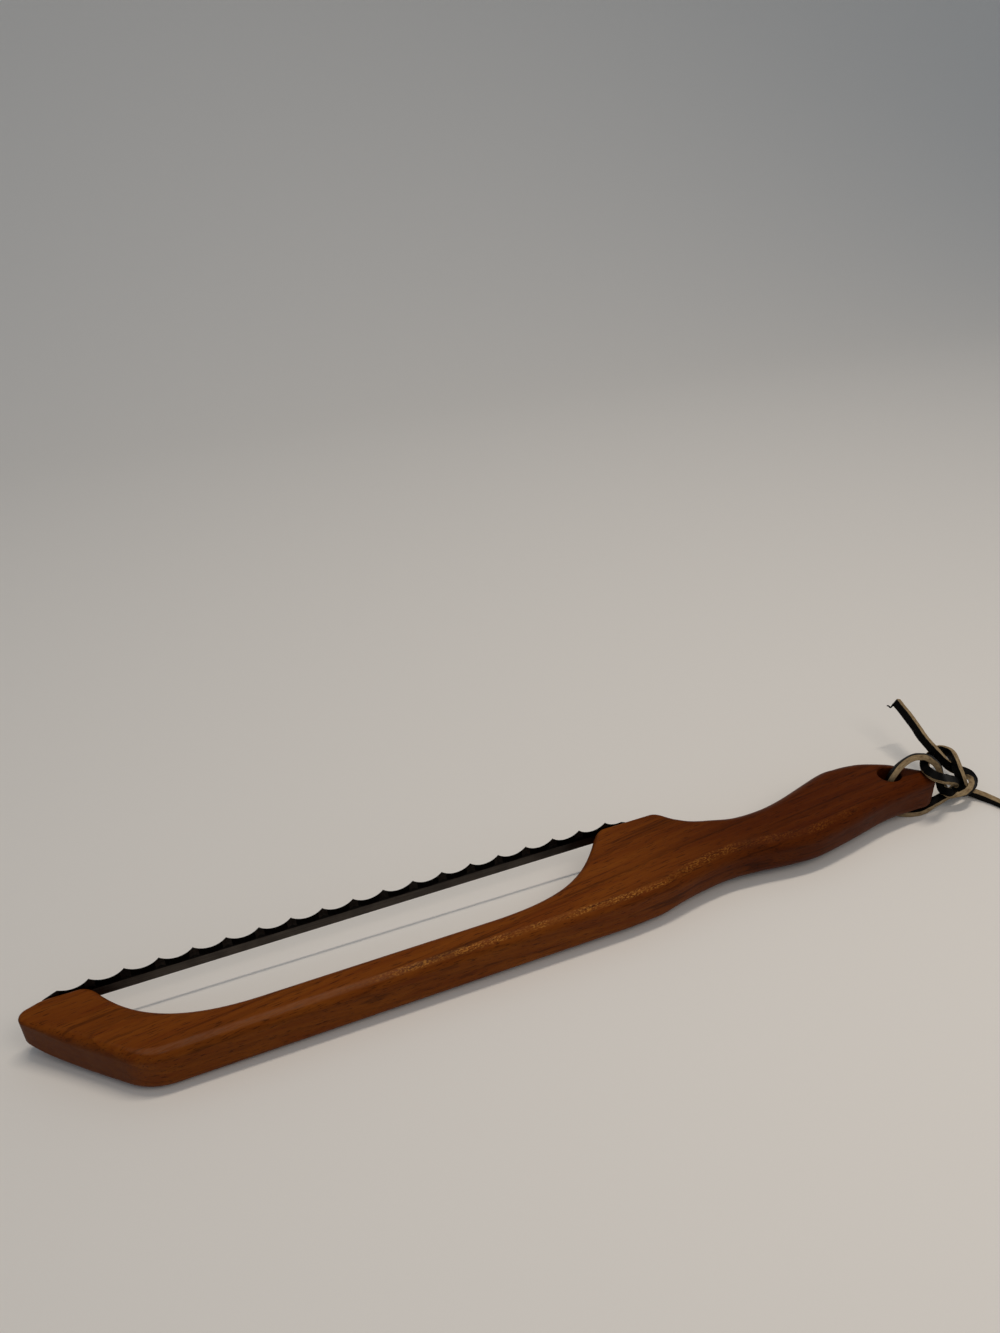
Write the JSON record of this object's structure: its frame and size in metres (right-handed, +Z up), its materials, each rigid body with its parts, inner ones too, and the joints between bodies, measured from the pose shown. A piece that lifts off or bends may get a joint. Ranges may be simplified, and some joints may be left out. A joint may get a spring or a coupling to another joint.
{
  "type": "bread bow knife",
  "caption": "Fiddle-bow bread knife: a one-piece hardwood bow with a shaped handle, a scalloped strip blade screwed across its ends, and a leather lace tied through the handle.",
  "frame": {"origin": "centre of the knife's footprint on the table, without the lace", "axes": "+X along the blade towards the handle, +Y towards the blade's side, +Z up from the table"},
  "size_m": [0.4369, 0.0742, 0.031],
  "materials": {
    "oiled_hardwood": "oiled, satin",
    "blued_steel": "dark blued, ground bevel",
    "screw_steel": "plated",
    "lace_leather": "black faces, pale cut edges"
  },
  "bodies": {
    "knife": {"bow_frame": "oiled_hardwood", "scalloped_blade": "blued_steel", "front_blade_screw": "screw_steel", "rear_blade_screw": "screw_steel"},
    "lace": {"lace_upper": "lace_leather", "lace_lower": "lace_leather"}
  },
  "joints": [
    {"name": "lace_swing", "type": "hinge", "parent": "knife", "child": "lace", "pos_m": [0.17911, -0.00066, 0], "axis": [-0.0093, -0.0103, 0.9999], "range_deg": [-110, 110]}
  ]
}
